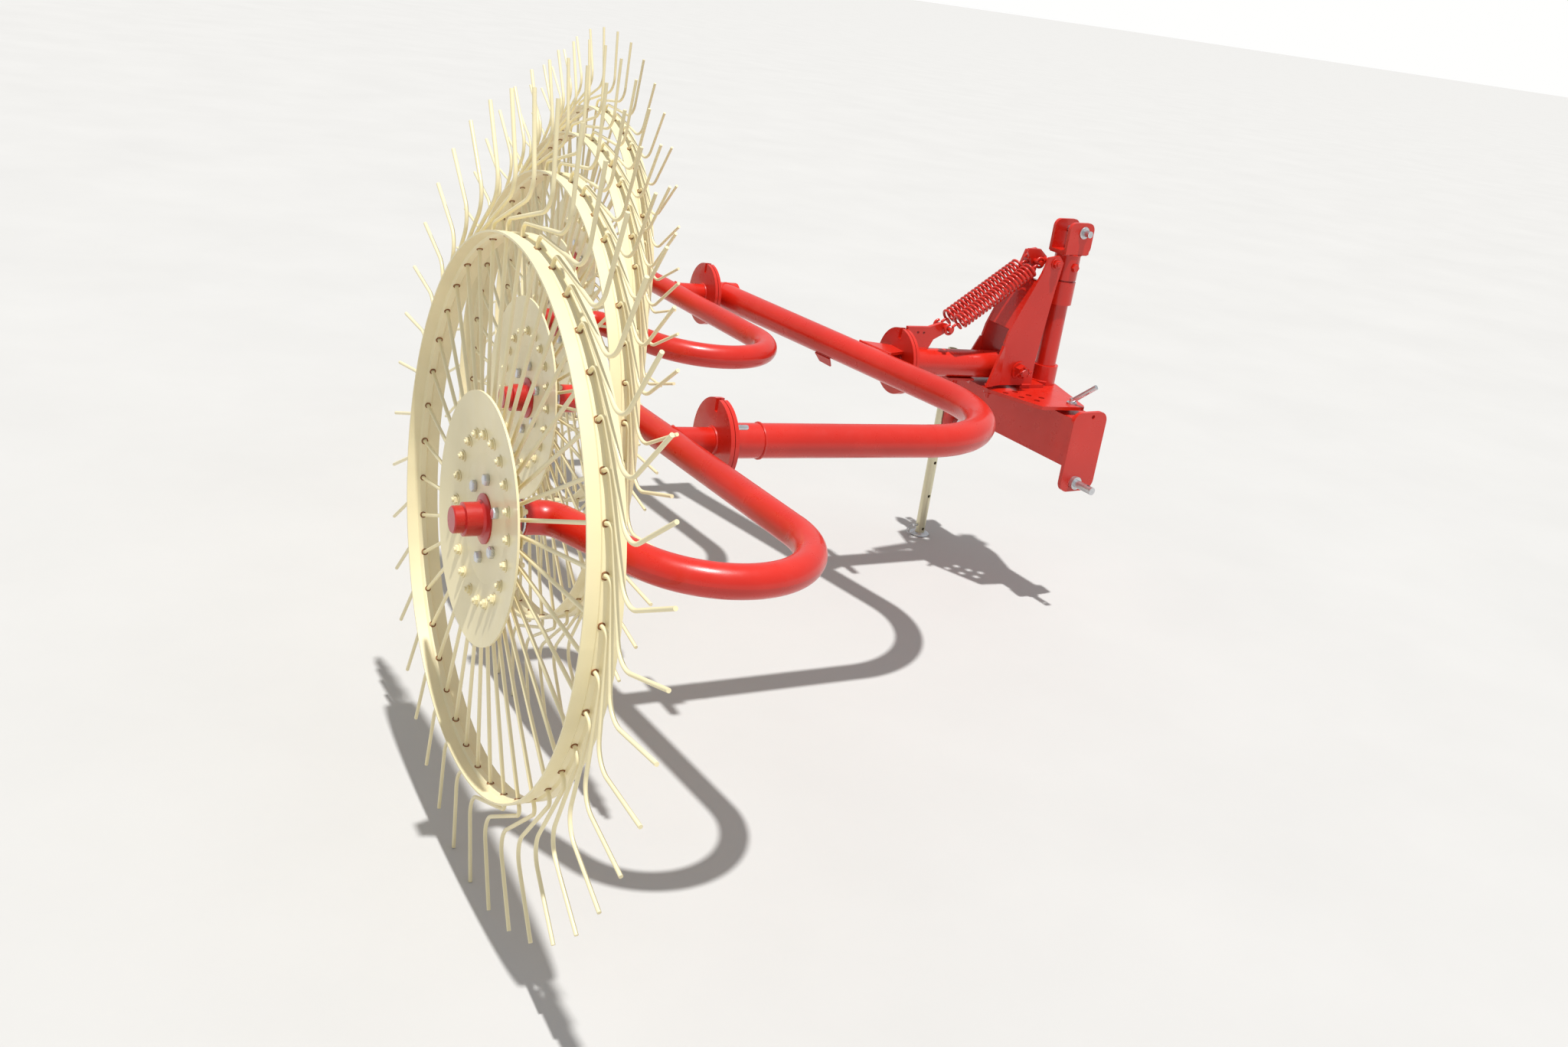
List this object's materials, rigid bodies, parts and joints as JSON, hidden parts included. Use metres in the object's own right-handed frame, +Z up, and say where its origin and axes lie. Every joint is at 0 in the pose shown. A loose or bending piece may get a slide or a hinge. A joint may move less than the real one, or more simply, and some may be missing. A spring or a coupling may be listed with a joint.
{
  "type": "rotary hay rake",
  "caption": "Three-point hay rake with free-turning tined wheels on teetering bent arms behind a swinging, spring-balanced frame",
  "frame": {"origin": "on the ground under the middle of the whole rake's box", "axes": "X forward toward the tractor, Y left, Z up"},
  "size_m": [2.181, 3.2751, 1.399],
  "materials": {
    "red_paint": "gloss",
    "cream_paint": "satin",
    "zinc": "zinc plated",
    "yellow_zinc": "yellow zinc plated"
  },
  "bodies": {
    "hitch": {"hitch_beam": "red_paint", "end_plates": "red_paint", "lower_pins": "zinc", "index_plate": "red_paint", "index_pin": "zinc", "mast_post": "red_paint", "top_clevis": "red_paint", "top_link_pin": "zinc", "stand_socket": "red_paint"},
    "swing_frame": {"mast_sleeves": "red_paint", "side_plates": "red_paint", "swing_web": "red_paint", "pivot_bolt": "red_paint", "spring_hanger": "red_paint"},
    "float_tube": {"centre_tube": "red_paint", "spring_anchor": "red_paint", "balance_springs": "red_paint"},
    "main": {"main_pipe": "red_paint", "centre_stub": "red_paint", "pivot_sleeves": "red_paint"},
    "near_arm": {"near_arm": "red_paint", "near_arm_stub": "red_paint", "near_spindles": "zinc"},
    "far_arm": {"far_arm": "red_paint", "far_arm_stub": "red_paint", "far_spindles": "zinc"},
    "stand": {"stand_leg": "yellow_zinc", "stand_foot": "zinc"},
    "wheel_1": {"hub_1": "red_paint", "disc_1": "cream_paint", "rim_1": "cream_paint", "tines_1": "cream_paint"},
    "wheel_2": {"hub_2": "red_paint", "disc_2": "cream_paint", "rim_2": "cream_paint", "tines_2": "cream_paint"},
    "wheel_3": {"hub_3": "red_paint", "disc_3": "cream_paint", "rim_3": "cream_paint", "tines_3": "cream_paint"},
    "wheel_4": {"hub_4": "red_paint", "disc_4": "cream_paint", "rim_4": "cream_paint", "tines_4": "cream_paint"}
  },
  "joints": [
    {"name": "swing", "type": "hinge", "parent": "hitch", "child": "swing_frame", "pos_m": [1.02933, -0.04816, 0.7], "axis": [0, 0, 1], "range_deg": [-40, 48]},
    {"name": "float", "type": "hinge", "parent": "swing_frame", "child": "float_tube", "pos_m": [0.88967, -0.0384, 0.654], "axis": [0.0698, 0.9976, 0], "range_deg": [-4, 12], "stiffness_Nm_per_rad": 1500, "springref_deg": 3.44, "deforming": ["balance_springs"]},
    {"name": "main_teeter", "type": "hinge", "parent": "float_tube", "child": "main", "pos_m": [0.50881, -0.01176, 0.66648], "axis": [0.997, -0.0697, -0.0327], "range_deg": [-12, 12]},
    {"name": "near_teeter", "type": "hinge", "parent": "main", "child": "near_arm", "pos_m": [-0.40611, -0.5973, 0.68552], "axis": [0.997, -0.0697, -0.0327], "range_deg": [-15, 15]},
    {"name": "far_teeter", "type": "hinge", "parent": "main", "child": "far_arm", "pos_m": [0.26119, 0.65506, 0.68552], "axis": [0.997, -0.0697, -0.0327], "range_deg": [-15, 15]},
    {"name": "wheel_1_spin", "type": "hinge", "parent": "near_arm", "child": "wheel_1", "pos_m": [-1.02132, -0.93918, 0.69919], "axis": [0.997, -0.0697, -0.0327], "continuous": true},
    {"name": "wheel_2_spin", "type": "hinge", "parent": "near_arm", "child": "wheel_2", "pos_m": [-0.68768, -0.313, 0.69919], "axis": [0.997, -0.0697, -0.0327], "continuous": true},
    {"name": "wheel_3_spin", "type": "hinge", "parent": "far_arm", "child": "wheel_3", "pos_m": [-0.35403, 0.31319, 0.69919], "axis": [0.997, -0.0697, -0.0327], "continuous": true},
    {"name": "wheel_4_spin", "type": "hinge", "parent": "far_arm", "child": "wheel_4", "pos_m": [-0.02038, 0.93937, 0.69919], "axis": [0.997, -0.0697, -0.0327], "continuous": true},
    {"name": "stand_height", "type": "slide", "parent": "hitch", "child": "stand", "axis": [0, 0, 1], "range_m": [0, 0.18]}
  ]
}
